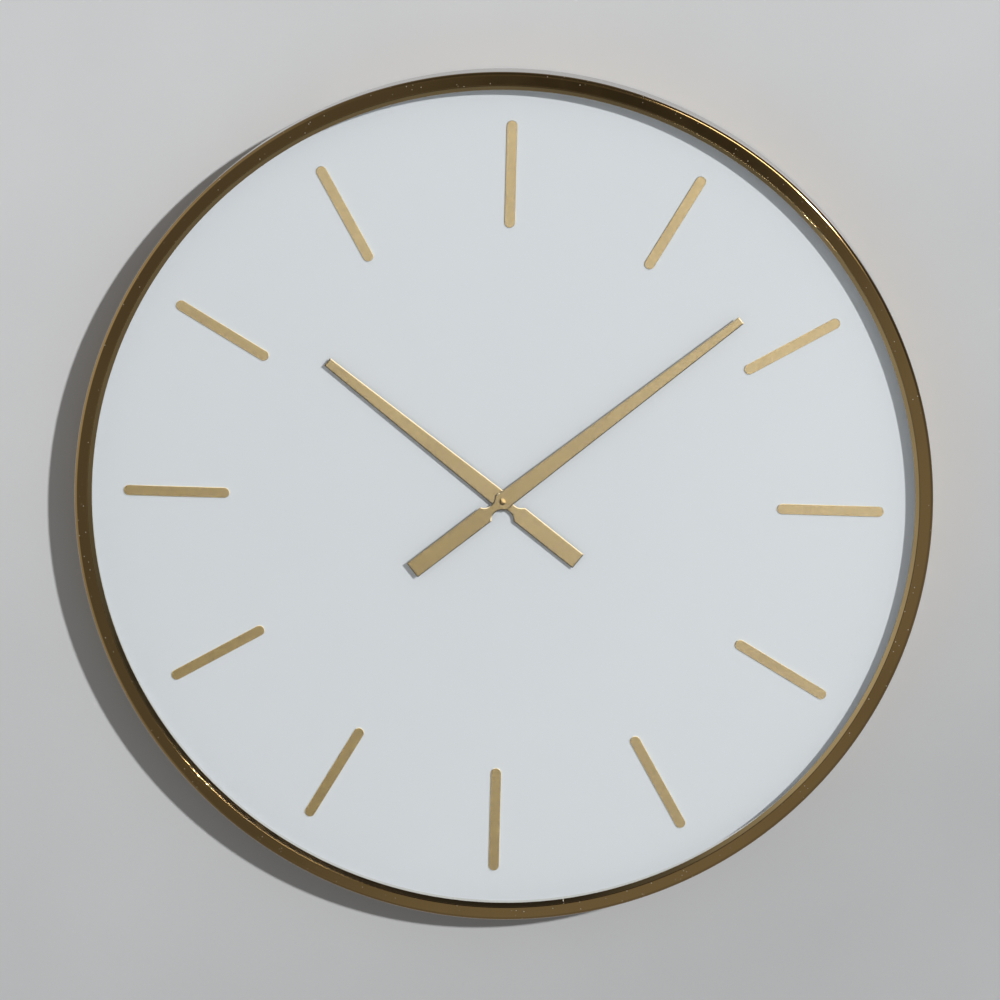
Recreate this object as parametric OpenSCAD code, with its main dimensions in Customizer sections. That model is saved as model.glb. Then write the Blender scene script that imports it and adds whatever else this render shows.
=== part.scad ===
// Large round wall clock: brass channel case, glazed front, applied hour bars, quartz movement.
// Lengths are millimetres. X is to the right and Z is up as the clock is read; Y points to the wall.
// The origin is the centre of the keyhole's round entry, on the rear face of the hanger plate.

/* [Case] */
// Outside diameter of the case
case_d = 762; // [600:2:900]
// Depth of the case from its front face to its rear lip
case_depth = 50; // [44:1:70]
// Thickness of the rolled sheet metal
sheet_t = 2; // [1.2:0.1:2.4]
// Width of the flat front face, from the outside to the glazing opening
face_w = 11.8; // [10.5:0.1:16]
// Radius of the rounded front edge
edge_r = 2.6; // [1:0.1:4]
// Width of the rear lip
rear_lip_w = 10; // [10:0.5:14]

/* [Glazing] */
// Width of the bezel ring between the case's opening and the dial's view
bezel_w = 3.6; // [3:0.1:6]
// Height of the bezel ring, from the front face to the glass
bezel_h = 3; // [2.6:0.1:5]
// Depth of the chamfer on the bezel ring
bezel_chamfer = 2.3; // [1:0.1:2.5]
// Open groove between the bezel ring and the case
bezel_gap = 0.4; // [0.1:0.05:0.8]
// Overlap of the bezel ring's snap rib behind the case's front face
snap_overlap = 1.2; // [0.6:0.1:2]
// Gap at the split of the bezel ring
split_w = 0.8; // [0.4:0.1:2]
// Angle of the split from the bottom of the clock, anticlockwise
split_angle = 10; // [0:1:40]
// Thickness of the glass
glass_t = 3; // [2:0.5:4]
// Gap round the glass, dial and board inside the case's opening
glazing_gap = 0.6; // [0.2:0.1:1.5]
// Air space between the glass and the dial
air_space = 12; // [12:0.5:20]
// Width of the spacer ring between the glass and the dial
spacer_w = 2.6; // [1.5:0.1:3.6]

/* [Dial] */
// Thickness of the dial sheet
dial_t = 1; // [0.6:0.1:2]
// Thickness of the board behind the dial
board_t = 6; // [6:0.5:9]
// Number of hour bars
bar_count = 12; // [12:12:12]
// Length of an hour bar
bar_len = 94.4; // [60:0.2:110]
// Width of an hour bar
bar_w = 9.3; // [6:0.1:14]
// Height of an hour bar above the dial
bar_h = 1.4; // [0.8:0.1:2.5]
// Bevel round the top of an hour bar
bar_bevel = 0.35; // [0.1:0.05:0.6]
// Distance from the bezel ring to the outer end of the bars
bar_inset = 27.2; // [10:0.2:50]
// Diameter of the locating pins under a bar
pin_d = 1.6; // [1:0.1:2]
// Distance between a bar's two pins
pin_spacing = 60; // [30:1:70]

/* [Hands] */
// Thickness of the hands
hand_t = 1; // [0.6:0.1:1.2]
// Length of the minute hand from its centre to its tip
minute_len = 266; // [150:1:300]
// Length of the minute hand's tail
minute_tail = 102; // [60:1:120]
// Width of the minute hand beside its boss
minute_root_w = 15.6; // [12:0.1:16.4]
// Width of the minute hand's tip
minute_tip_w = 7.5; // [4:0.1:12]
// Length of the hour hand from its centre to its tip
hour_len = 199; // [100:1:240]
// Length of the hour hand's tail
hour_tail = 86; // [50:1:110]
// Width of the hour hand beside its boss
hour_root_w = 15.8; // [12:0.1:16.4]
// Width of the hour hand's tip
hour_tip_w = 8.6; // [4:0.1:12]
// Radius of the round boss of both hands
boss_r = 8.4; // [8:0.1:10]
// Radius of the two hollows that pinch the neck
neck_r = 10; // [8:0.1:12]
// Width of the neck at its narrowest
neck_w = 7.2; // [6.5:0.1:9]
// Distance from the centre to the narrowest part of the neck
neck_back = 10.7; // [10:0.1:14]
// Width of the tails
tail_w = 15.8; // [12:0.1:16.4]
// Height of the hour hand's face above the dial
hour_height = 5.6; // [5.4:0.1:6]
// Clear space between the hour hand and the minute hand
hand_space = 2; // [1.6:0.1:2.4]
// Forward lean of the minute hand, in degrees
minute_rake = 0.45; // [0:0.05:0.5]
// Forward lean of the hour hand, in degrees
hour_rake = 0.15; // [0:0.05:0.3]
// Clock angle of the minute hand as shown
minute_angle = 50.8; // [0:0.1:360]
// Clock angle of the hour hand as shown
hour_angle = 307.3; // [0:0.1:360]
// Diameter of the cap nut
nut_d = 6.1; // [5:0.1:8]
// Height of the cap nut's straight side
nut_side = 1; // [0.6:0.1:1.2]
// Height of the cap nut's dome
nut_dome = 1.4; // [1:0.1:1.6]

/* [Fixings] */
// Number of lugs welded inside the band
lug_count = 8; // [6:2:12]
// Width of a lug along the band
lug_w = 22; // [16:1:30]
// Reach of a lug inwards from the band
lug_reach = 24; // [20:1:32]
// Length of the lug's leg along the band
lug_leg = 13; // [8:1:18]
// Distance of the board screws from the edge of the board
screw_inset = 6.6; // [5:0.1:9]
// Shank diameter of the board screws
screw_d = 3.6; // [3:0.1:4]
// Head diameter of the board screws
screw_head_d = 7.4; // [6:0.1:8]
// Head height of the board screws
screw_head_h = 2.2; // [1.5:0.1:3]
// Length of thread in the board
screw_bite = 4.5; // [3:0.1:5]
// Radial clearance of the screws in the lugs
screw_clearance = 0.4; // [0.2:0.1:0.8]
// Distance of the keyhole's entry inside the outside of the case
hang_inset = 41; // [36:1:80]
// Width of the hanger plate
hanger_w = 90; // [60:1:120]
// Depth of the hanger plate below the keyhole's entry
hanger_drop = 20; // [14:1:30]
// Diameter of the keyhole's round entry
keyhole_d = 9; // [8:0.5:10]
// Width of the keyhole's slot
slot_w = 4.6; // [4:0.1:5]
// Rise of the keyhole's slot above its entry
slot_rise = 12; // [9:0.5:13]
// Diameter of the wall pads
pad_d = 9; // [6:0.5:9]
// Thickness of the wall pads
pad_t = 1.5; // [1:0.1:3]

/* [Movement bush] */
// Outside diameter of the threaded bush
bush_d = 8; // [7.5:0.1:9]
// Clearance of the bush in the board, dial and washers, on the radius
bush_clearance = 0.2; // [0.1:0.05:0.4]
// Diameter of the bush's root in the movement case
bush_root_d = 10; // [9.5:0.1:12]
// Thickness of the rubber washer
rubber_t = 1; // [0.5:0.1:1.5]
// Diameter of the rubber washer
rubber_d = 20; // [16:1:26]
// Diameter of the metal washer on the dial
washer_d = 15; // [13:0.5:16]
// Thickness of the metal washer
washer_t = 0.5; // [0.4:0.1:0.8]
// Width across the flats of the bush nut
bush_nut_af = 11; // [10:0.5:12]
// Thickness of the bush nut
bush_nut_t = 2; // [1.6:0.1:2.2]
// Length of bush that stands out of the nut
bush_proud = 0.3; // [0.1:0.05:0.4]

/* [Movement case] */
// Width and height of the movement case
mv_size = 56; // [55:0.5:60]
// Corner radius of the movement case
mv_corner = 4; // [2:0.5:6]
// Wall thickness of the movement case
mv_wall = 1.5; // [1:0.1:1.8]
// Depth of the movement case without its cover
mv_depth = 15; // [15:0.5:17]
// Thickness of the movement's rear cover
cover_t = 1.5; // [1:0.1:2]
// Depth of the lip that locates the cover inside the case
cover_lip = 0.4; // [0.3:0.05:0.5]
// Clearance of loose moulded parts in their seats
seat_gap = 0.15; // [0.05:0.05:0.3]
// Width of the cover's three snap arms
snap_w = 7; // [6:0.5:8]
// Length of the cover's snap arms along the case's wall
snap_len = 6; // [5:0.5:7]
// Thickness of the cover's snap arms
snap_t = 1.2; // [1:0.1:1.5]
// Height of the noses on the case that hold the snap arms
nose_h = 0.9; // [0.7:0.1:1]
// Diameter of the battery cell
cell_d = 14.2; // [13.5:0.1:14.5]
// Length of the battery cell with its nub
cell_len = 50.2; // [49:0.1:50.5]
// Diameter of the battery's nub
cell_nub_d = 5.5; // [4:0.1:6]
// Length of the battery's nub
cell_nub_len = 1.2; // [1:0.1:1.5]
// Thickness of the contact strips
contact_t = 0.35; // [0.2:0.05:0.5]

/* [Movement train] */
// Pressure angle of the gear teeth
pressure_angle = 30; // [30:1:32]
// Play between the flanks of a pair, as a share of the module
flank_play = 0.16; // [0.1:0.01:0.2]
// Distance from the centre to the minute wheel and from there to the setting pinion
motion_span = 10; // [9.8:0.1:10.4]
// Distance from the centre to the third wheel
third_span = 10; // [9.9:0.1:10.2]
// Distance from the centre to the intermediate wheel
second_span = 10.2; // [10.1:0.1:10.4]
// Distance from the intermediate wheel to the rotor
rotor_span = 9.1; // [9:0.1:9.3]
// Thickness of the wheels' rims
wheel_t = 0.8; // [0.6:0.05:1]
// Length of the pinions
pinion_t = 1.2; // [1.2:0.05:1.3]
// Thickness of the middle plate and of the train bridge
plate_t = 1; // [0.8:0.1:1.2]
// Diameter of the arbors in the going train
arbor_d = 1.2; // [1:0.1:1.3]
// Diameter of the pivots
pivot_d = 0.8; // [0.6:0.05:0.9]
// Diameter of the minute arbor
minute_arbor_d = 3.5; // [3.2:0.1:3.6]
// Width across the flats of the minute arbor under its hand
minute_flats = 2.8; // [2.6:0.1:3]
// Thread diameter of the minute arbor under the cap nut
minute_thread_d = 2.6; // [2.2:0.1:2.7]
// Diameter of the minute arbor behind the cannon pinion
minute_rear_d = 3; // [2.6:0.1:3.2]
// Outside diameter of the hour pipe
hour_pipe_d = 5; // [4.6:0.1:5.2]
// Running clearance on the radius
run_gap = 0.05; // [0.02:0.01:0.08]
// Diameter of the setting knob
knob_d = 14; // [10:0.5:15]
// Height of the setting knob
knob_h = 3; // [2:0.1:3]
// Diameter of the rotor's magnet
magnet_d = 6; // [5:0.1:6.4]
// Length of the rotor's magnet
magnet_len = 3; // [2:0.1:3.4]
// Gap between the magnet and the stator
stator_gap = 0.5; // [0.3:0.05:0.7]
// Thickness of the stator and of the coil's core
core_t = 0.8; // [0.6:0.05:0.9]
// Width of the coil's core and of the stator's arms
core_w = 5; // [4:0.1:5.2]
// Diameter of the bobbin's flanges
bobbin_d = 7.8; // [7:0.1:7.8]
// Length of the bobbin
bobbin_len = 13.6; // [10:0.1:14]

/* [Hidden] */
$fn = 96;
ring_fn = 180;
touch = 0.02;
weld_gap = 0.06;

HOURS = [for (i = [1:bar_count]) str("hour_bar_", i)];

// Radii from the clock's centre
case_r = case_d / 2;
hang_rise = case_r - hang_inset;
band_in_r = case_r - sheet_t;
opening_r = case_r - face_w;
bezel_out_r = opening_r - bezel_gap;
bezel_in_r = bezel_out_r - bezel_w;
stack_r = opening_r - glazing_gap;
bar_mid_r = bezel_in_r - bar_inset - bar_len / 2;
screw_r = stack_r - screw_inset;

// Depths from the front face
glass_front = bezel_h;
spacer_front = glass_front + glass_t;
dial_front = spacer_front + air_space;
board_front = dial_front + dial_t;
board_rear = board_front + board_t;
hanger_rear = case_depth - sheet_t;
hour_front = dial_front - hour_height;
minute_front = hour_front - hand_space - hand_t;
mv_front = board_rear + rubber_t;
bush_end = dial_front - washer_t - bush_nut_t - bush_proud;

// Depths inside the movement, from its own front face
motion_front = mv_wall + 0.4;
motion_wheel = motion_front + 1.7;
middle_front = motion_wheel + 1.6;
centre_level = middle_front + plate_t + 0.3;
third_level = centre_level + 2;
second_level = third_level + 1.8;
stator_level = third_level + 1.1;
inter_level = second_level + 1.8;
bridge_front = inter_level + 1.4;
cell_axis_depth = mv_wall + 0.5 + cell_d / 2;
nose_front = mv_depth - snap_len + 1.2 + seat_gap;

// Places across the movement, from the clock's centre
function polar(r, a) = [r * cos(a), r * sin(a)];
inner = mv_size / 2 - mv_wall;
cell_z = -(inner - 0.4 - cell_d / 2);
bay_wall_z = cell_z + cell_d / 2 + 0.2;
chamber_z = bay_wall_z + 1;
minute_at = polar(motion_span, 150);
setting_at = minute_at + polar(motion_span, 120);
third_at = polar(third_span, 15);
inter_at = polar(second_span, 110);
rotor_at = inter_at + polar(rotor_span, 35);
coil_x = inner - 4.5;
coil_top = [coil_x, inner - 3.2];
coil_foot = [coil_x, inner - 22.6];
pillar_left = [3 - inner, chamber_z + 3.2];
pillar_top = [3 - inner, inner - 3];
pillar_mid = [8.5, inner - 2.2];
pillar_low = [10.5, chamber_z + 2.1];
pillars = [pillar_left, pillar_top, pillar_mid, pillar_low];
pillar_r = 1.3;

// Lugs and the hour hand's collet
lug_start = 180 / lug_count;
lug_sweep = lug_w / band_in_r * 180 / PI;
collet_r = hour_pipe_d / 2 + 1.1;
collet_flange_r = collet_r + 1.2;
collet_end = bush_end - 0.3;

// Details inside the movement
setting_r = 1;
centre_end = centre_level + wheel_t + 0.6;
magnet_front = stator_level + core_t / 2 - magnet_len / 2;
bobbin_z = (coil_top[1] + coil_foot[1]) / 2;
bobbin_wall_r = core_w / 2 + 0.45;
winding_r = bobbin_d / 2 - 0.3;
pcb_front = middle_front + plate_t;
pcb_t = 0.8;
pcb_left = pillar_low[0] + pillar_r + 0.8;
pcb_right = inner - contact_t - seat_gap;
pcb_bottom = chamber_z + contact_t + 0.1;
pcb_top = coil_foot[1] - 4.4;
contact_front = middle_front + plate_t + 0.1;
contact_w = 6;
cell_x = -cell_len / 2 - 0.2;

// Gear teeth: counts and modules
cannon_n = 12;
minute_n = 36;
minute_pinion_n = 10;
hour_n = 40;
setting_n = 12;
centre_n = 64;
leaf_n = 8;
third_n = 60;
second_n = 50;
inter_pinion_n = 10;
inter_n = 60;
rotor_n = 10;
cannon_m = 2 * motion_span / (cannon_n + minute_n);
hour_m = 2 * motion_span / (minute_pinion_n + hour_n);
setting_m = 2 * motion_span / (setting_n + minute_n);
centre_m = 2 * third_span / (centre_n + leaf_n);
third_m = 2 * third_span / (third_n + leaf_n);
second_m = 2 * second_span / (second_n + inter_pinion_n);
inter_m = 2 * rotor_span / (inter_n + rotor_n);
addendum = 0.8;
dedendum = 1;

// Angle of the first tooth of gear b that puts it in mesh with gear a, along the line from a to b
function mesh_angle(line, n_a, first_a, n_b) =
    line + 180 - (0.5 - (line - first_a) * n_a / 360) * 360 / n_b;
cannon_first = 0;
minute_first = mesh_angle(150, cannon_n, cannon_first, minute_n);
minute_pinion_first = 0;
hour_first = mesh_angle(150 + 180, minute_pinion_n, minute_pinion_first, hour_n);
setting_first = mesh_angle(120, minute_n, minute_first, setting_n);
centre_first = 0;
third_pinion_first = mesh_angle(15, centre_n, centre_first, leaf_n);
third_first = 0;
second_pinion_first = mesh_angle(15 + 180, third_n, third_first, leaf_n);
second_first = 0;
inter_pinion_first = mesh_angle(110, second_n, second_first, inter_pinion_n);
inter_first = 0;
rotor_first = mesh_angle(35, inter_n, inter_first, rotor_n);

// Tooth outline: an involute through the pitch and tip circles, radial below the base circle
function involute(r, base) = tan(acos(base / r)) * 180 / PI - acos(base / r);
function tooth_half(r, n, m) =
    let (pitch = n * m / 2, base = pitch * cos(pressure_angle))
    90 / n - flank_play * m / 4 / pitch * 180 / PI + involute(pitch, base) - involute(max(r, base), base);
function tooth_points(n, m, first) =
    let (pitch = n * m / 2, root = pitch - dedendum * m, tip = pitch + addendum * m)
    [for (i = [0:n - 1]) let (mid = first + i * 360 / n)
        for (edge = [[root, -1], [pitch, -1], [tip, -1], [tip, 1], [pitch, 1], [root, 1]])
            polar(edge[0], mid + edge[1] * tooth_half(edge[0], n, m))];

// Puts a shape drawn from the clock's centre and front face into the hanging frame
module from_hanger() {
    translate([0, -hanger_rear, -hang_rise]) children();
}

// A flat piece: its outline is drawn as seen from the front, and it reaches back from the depth front
module slab(front, thick) {
    translate([0, front + thick, 0]) rotate([90, 0, 0]) linear_extrude(thick) children();
}

// A ring or disc turned about the clock's centre from a profile of radius and depth
module turned(fn = $fn) {
    rotate([-90, 0, 0]) rotate_extrude($fn = fn) children();
}

// A round peg or hole along the depth
module peg(front, length, r, at = [0, 0]) {
    translate([at[0], front, at[1]]) rotate([-90, 0, 0]) cylinder(h = length, r = r);
}

// A gear along the depth
module gear(front, length, n, m, first, at = [0, 0]) {
    translate([at[0], 0, at[1]]) slab(front, length) polygon(tooth_points(n, m, first));
}

// A hand's pose on the dial: turned clockwise from twelve
module at_hour(angle) {
    rotate([0, angle, 0]) children();
}

// Places a piece at each of count even places round the clock, the first one at the angle start
module around(count, start) {
    for (i = [0:count - 1]) at_hour(start + i * 360 / count) children();
}

module ring_2d(out_r, in_r) {
    difference() {
        circle(out_r);
        circle(in_r);
    }
}

// Case

module case_profile() {
    difference() {
        union() {
            translate([opening_r, 0]) square([face_w - edge_r, case_depth]);
            translate([opening_r, edge_r]) square([face_w, case_depth - edge_r]);
            translate([case_r - edge_r, edge_r]) circle(edge_r);
        }
        translate([opening_r - 1, sheet_t]) square([band_in_r - opening_r + 1, case_depth - 2 * sheet_t]);
        translate([opening_r - 1, sheet_t]) square([face_w - rear_lip_w + 1, case_depth]);
    }
}

module case_frame() {
    from_hanger() color("#7a6238") turned(ring_fn) case_profile();
}

module bezel_profile() {
    rib_front = sheet_t + 0.05;
    land = 0.3;
    polygon([
        [bezel_in_r, bezel_h],
        [bezel_in_r, bezel_chamfer],
        [bezel_out_r - land, 0],
        [bezel_out_r, 0],
        [bezel_out_r, rib_front],
        [opening_r + snap_overlap, rib_front],
        [opening_r + snap_overlap, bezel_h]
    ]);
}

module bezel_ring() {
    from_hanger() color("#9c8450") difference() {
        turned(ring_fn) bezel_profile();
        at_hour(180 - split_angle) translate([-split_w / 2, -1, bezel_in_r - 1])
            cube([split_w, bezel_h + 2, bezel_w + snap_overlap + bezel_gap + 2]);
    }
}

module glass_lens() {
    from_hanger() color("#dfeaea", 0.3) peg(glass_front, glass_t, stack_r, $fn = ring_fn);
}

module spacer_ring() {
    from_hanger() color("#8a7142") slab(spacer_front, air_space)
        ring_2d(stack_r, stack_r - spacer_w, $fn = ring_fn);
}

// Dial

module bar_pins(r, length) {
    for (side = [-1, 1])
        peg(dial_front, length, r, [0, bar_mid_r + side * pin_spacing / 2], $fn = 24);
}

module dial_plate() {
    from_hanger() color("#f0f2f2") difference() {
        peg(dial_front, dial_t, stack_r, $fn = ring_fn);
        peg(dial_front - 1, dial_t + 2, bush_d / 2 + bush_clearance);
        around(bar_count, 0) translate([0, -1, 0]) bar_pins(pin_d / 2 + touch, dial_t + 2);
    }
}

// One hour bar, upright above the centre, with its bevelled top and two pins
module bar_shape() {
    half = bar_w / 2;
    run = bar_len / 2 - half;
    base = dial_front - bar_h + bar_bevel;
    top = dial_front - bar_h;
    translate([0, 0, bar_mid_r - run]) linear_extrude(2 * run) polygon([
        [-half, dial_front],
        [-half, base],
        [bar_bevel - half, top],
        [half - bar_bevel, top],
        [half, base],
        [half, dial_front]
    ]);
    for (side = [-1, 1]) {
        peg(base, bar_h - bar_bevel, half, [0, bar_mid_r + side * run]);
        translate([0, base, bar_mid_r + side * run]) rotate([90, 0, 0])
            cylinder(h = bar_bevel, r1 = half, r2 = half - bar_bevel);
    }
    bar_pins(pin_d / 2, dial_t);
}

module hour_bar(i) {
    from_hanger() color("#c4b080") at_hour(i * 360 / bar_count) bar_shape();
}

module backing_board() {
    from_hanger() color("#4a3a2c") difference() {
        peg(board_front, board_t, stack_r, $fn = ring_fn);
        peg(board_front - 1, board_t + 2, bush_d / 2 + bush_clearance);
        around(lug_count, lug_start)
            peg(board_rear - screw_bite - 0.5, board_t, screw_d / 2 + touch, [0, screw_r]);
    }
}

// Fixings

module lug_profile() {
    out_r = band_in_r - weld_gap;
    translate([band_in_r - lug_reach, board_rear]) square([out_r - band_in_r + lug_reach, sheet_t]);
    translate([out_r - sheet_t, board_rear]) square([sheet_t, lug_leg]);
}

module board_lugs() {
    from_hanger() color("#8d8a82") around(lug_count, lug_start) difference() {
        rotate([-90, 0, 0]) rotate([0, 0, -90 - lug_sweep / 2])
            rotate_extrude(angle = lug_sweep, $fn = ring_fn) lug_profile();
        peg(board_rear - 1, sheet_t + 2, screw_d / 2 + screw_clearance, [0, screw_r]);
    }
}

module board_screws() {
    head_front = board_rear + sheet_t;
    from_hanger() color("#b9b6ac") around(lug_count, lug_start) {
        peg(board_rear - screw_bite, screw_bite + sheet_t, screw_d / 2, [0, screw_r]);
        difference() {
            peg(head_front, screw_head_h, screw_head_d / 2, [0, screw_r]);
            for (turn = [0, 90]) translate([0, head_front + screw_head_h, screw_r]) rotate([0, turn, 0])
                cube([screw_d, 2, 0.9], center = true);
        }
    }
}

module hanger_outline() {
    difference() {
        intersection() {
            circle(band_in_r, $fn = ring_fn);
            translate([-hanger_w / 2, hang_rise - hanger_drop]) square([hanger_w, band_in_r]);
        }
        translate([0, hang_rise]) circle(keyhole_d / 2);
        translate([-slot_w / 2, hang_rise]) square([slot_w, slot_rise]);
        translate([0, hang_rise + slot_rise]) circle(slot_w / 2);
    }
}

module hanger_plate() {
    from_hanger() color("#a9a69c") slab(hanger_rear - sheet_t, sheet_t) hanger_outline();
}

module wall_pads() {
    from_hanger() color("#2b2b2b") around(4, 45)
        peg(case_depth, pad_t, pad_d / 2, [0, case_r - rear_lip_w / 2]);
}

// Hands

module hand_outline(length, tail, root_w, tip_w) {
    neck_x = neck_w / 2 + neck_r;
    difference() {
        union() {
            polygon([[-root_w / 2, 0], [root_w / 2, 0], [tip_w / 2, length], [-tip_w / 2, length]]);
            circle(boss_r);
            translate([-tail_w / 2, -tail]) square([tail_w, tail]);
        }
        for (side = [-1, 1]) translate([side * neck_x, -neck_back]) circle(neck_r);
    }
}

// A hand's plate leans forward about its pivot, with its face at the depth front there
module hand_plate(front, rake, length, tail, root_w, tip_w) {
    translate([0, front, 0]) rotate([rake, 0, 0]) slab(0, hand_t) hand_outline(length, tail, root_w, tip_w);
}

module hour_hand() {
    from_hanger() color("#b8a26e") at_hour(hour_angle) difference() {
        hand_plate(hour_front, hour_rake, hour_len, hour_tail, hour_root_w, hour_tip_w);
        peg(hour_front - 1, hand_t + 2, collet_r + touch);
    }
}

module hour_collet() {
    seat = hour_front + hand_t + 0.02;
    from_hanger() color("#a58f5a") turned() {
        translate([hour_pipe_d / 2 + touch, hour_front]) square([1.1 - touch, collet_end - hour_front]);
        translate([hour_pipe_d / 2 + touch, seat]) square([collet_flange_r - hour_pipe_d / 2 - touch, 0.6]);
    }
}

module arbor_flats(size, width) {
    intersection() {
        circle(size / 2);
        square([size + 1, width], center = true);
    }
}

module minute_hand() {
    from_hanger() color("#b8a26e") at_hour(minute_angle) difference() {
        hand_plate(minute_front, minute_rake, minute_len, minute_tail, minute_root_w, minute_tip_w);
        slab(minute_front - 1, hand_t + 2) arbor_flats(minute_arbor_d + 2 * touch, minute_flats + 2 * touch);
    }
}

module cap_nut() {
    dome_r = (nut_d * nut_d / 4 + nut_dome * nut_dome) / (2 * nut_dome);
    seat = minute_front - 0.03;
    from_hanger() color("#c9b27a") turned() difference() {
        union() {
            translate([0, seat - nut_side]) square([nut_d / 2, nut_side]);
            intersection() {
                translate([0, seat - nut_side - nut_dome + dome_r]) circle(dome_r);
                translate([0, seat - nut_side - nut_dome]) square([nut_d / 2, nut_dome + 0.01]);
            }
        }
        translate([-1, seat - nut_side - 0.6]) square([minute_thread_d / 2 + touch + 1, nut_side + 2]);
        translate([-nut_d, 0]) square([nut_d, case_depth]);
    }
}

// Bush and its fixings

module threaded_bush() {
    from_hanger() color("#b89b5e") turned() difference() {
        union() {
            translate([0, bush_end]) square([bush_d / 2, mv_front + mv_wall - bush_end]);
            translate([0, mv_front]) square([bush_root_d / 2, mv_wall]);
        }
        translate([-1, bush_end - 1]) square([hour_pipe_d / 2 + run_gap + 1, case_depth]);
    }
}

module bush_washer() {
    from_hanger() color("#b89b5e") slab(dial_front - washer_t, washer_t)
        ring_2d(washer_d / 2, bush_d / 2 + bush_clearance);
}

module bush_nut() {
    from_hanger() color("#b89b5e") slab(dial_front - washer_t - bush_nut_t, bush_nut_t) difference() {
        circle(bush_nut_af / 2 / cos(30), $fn = 6);
        circle(bush_d / 2 + touch);
    }
}

module rubber_washer() {
    from_hanger() color("#222222") slab(board_rear, rubber_t)
        ring_2d(rubber_d / 2, bush_d / 2 + bush_clearance);
}

// Movement housing: everything here is placed from the movement's front face

module in_movement() {
    from_hanger() translate([0, mv_front, 0]) children();
}

module rounded_square(size, r) {
    for (x = [-1, 1], y = [-1, 1]) translate([x * (size / 2 - r), y * (size / 2 - r)]) circle(r);
    square([size, size - 2 * r], center = true);
    square([size - 2 * r, size], center = true);
}

// The part of the movement's plan above the height z
module above(z) {
    intersection() {
        children();
        translate([-mv_size, z]) square([2 * mv_size, 2 * mv_size]);
    }
}

module movement_case() {
    in_movement() color("#26282b") {
        difference() {
            slab(0, mv_depth) rounded_square(mv_size, mv_corner);
            slab(mv_wall, mv_depth) above(chamber_z) rounded_square(2 * inner, mv_corner - mv_wall);
            slab(mv_wall, mv_depth) difference() {
                rounded_square(2 * inner, mv_corner - mv_wall);
                translate([-mv_size, bay_wall_z]) square([2 * mv_size, mv_size]);
            }
            peg(-1, mv_wall + 2, bush_root_d / 2 + touch);
            for (at = [minute_at, setting_at]) peg(mv_wall - 1, 2, pivot_d / 2 + run_gap, at, $fn = 24);
            for (side = [-1, 1]) translate([side * (inner - contact_t) - contact_t, mv_wall, bay_wall_z - 1])
                cube([2 * contact_t, mv_depth, chamber_z - bay_wall_z + 2]);
        }
        for (at = pillars) {
            peg(mv_wall, middle_front - mv_wall, pillar_r + 0.4, at, $fn = 32);
            peg(mv_wall, bridge_front - mv_wall, pillar_r, at, $fn = 32);
            peg(mv_wall, bridge_front + plate_t - mv_wall, pillar_r - 0.5, at, $fn = 32);
        }
        for (at = [coil_top, coil_foot]) {
            peg(mv_wall, stator_level - core_t - mv_wall, pillar_r + 0.4, at, $fn = 32);
            peg(mv_wall, stator_level + core_t + 0.4 - mv_wall, pillar_r - 0.3, at, $fn = 32);
        }
        for (x = [-1, 0, 1]) translate([x * cell_len / 3 - 0.6, mv_wall, cell_z]) cell_saddle();
        at_snaps() snap_nose();
    }
}

// Turns a shape drawn at the top wall to the left, top and right walls
module at_snaps() {
    for (turn = [-90, 0, 90]) rotate([0, turn, 0]) children();
}

// A nose on the case's wall: flat towards the front, with a ramp towards the cover
module snap_nose() {
    wall = mv_size / 2;
    rotate([90, 0, 90]) linear_extrude(snap_w - 2.4 - 2 * seat_gap, center = true) polygon([
        [nose_front, wall - 0.2],
        [nose_front, wall + nose_h],
        [nose_front + 0.5, wall + nose_h],
        [nose_front + 2, wall - 0.2]
    ]);
}

// A springy arm of the cover, with a window that holds the nose
module snap_arm() {
    inside = mv_size / 2 + seat_gap;
    difference() {
        union() {
            translate([-snap_w / 2, mv_depth - snap_len, inside]) cube([snap_w, snap_len + cover_t, snap_t]);
            translate([-snap_w / 2, mv_depth, inside - 1]) cube([snap_w, cover_t, 1.1]);
        }
        translate([1.2 - snap_w / 2, nose_front - seat_gap, inside - 1])
            cube([snap_w - 2.4, 2 + 2 * seat_gap, snap_t + 2]);
    }
}

// A rib on the floor of the battery bay, hollowed to the battery's radius
module cell_saddle() {
    width = 8;
    difference() {
        translate([0, 0, -width / 2]) cube([1.2, 1.5, width]);
        translate([-1, cell_axis_depth - mv_wall, 0]) rotate([0, 90, 0])
            cylinder(h = 4, r = cell_d / 2 + seat_gap);
    }
}

module movement_cover() {
    in_movement() color("#2c2e31") difference() {
        union() {
            slab(mv_depth, cover_t) above(bay_wall_z) rounded_square(mv_size, mv_corner);
            slab(mv_depth - cover_lip, cover_lip) difference() {
                cover_lip_outline(seat_gap);
                cover_lip_outline(seat_gap + 1);
            }
            at_snaps() snap_arm();
        }
        peg(mv_depth - 1, cover_t + 2, setting_r + run_gap, setting_at);
    }
}

module cover_lip_outline(inset) {
    above(chamber_z + inset) rounded_square(2 * (inner - inset), mv_corner - mv_wall);
}

module plate_outline() {
    above(chamber_z + seat_gap) rounded_square(2 * (inner - seat_gap), mv_corner - mv_wall);
}

module pivot_holes(front, places) {
    for (at = places) peg(front, plate_t + 2, pivot_d / 2 + run_gap, at, $fn = 24);
}

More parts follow.
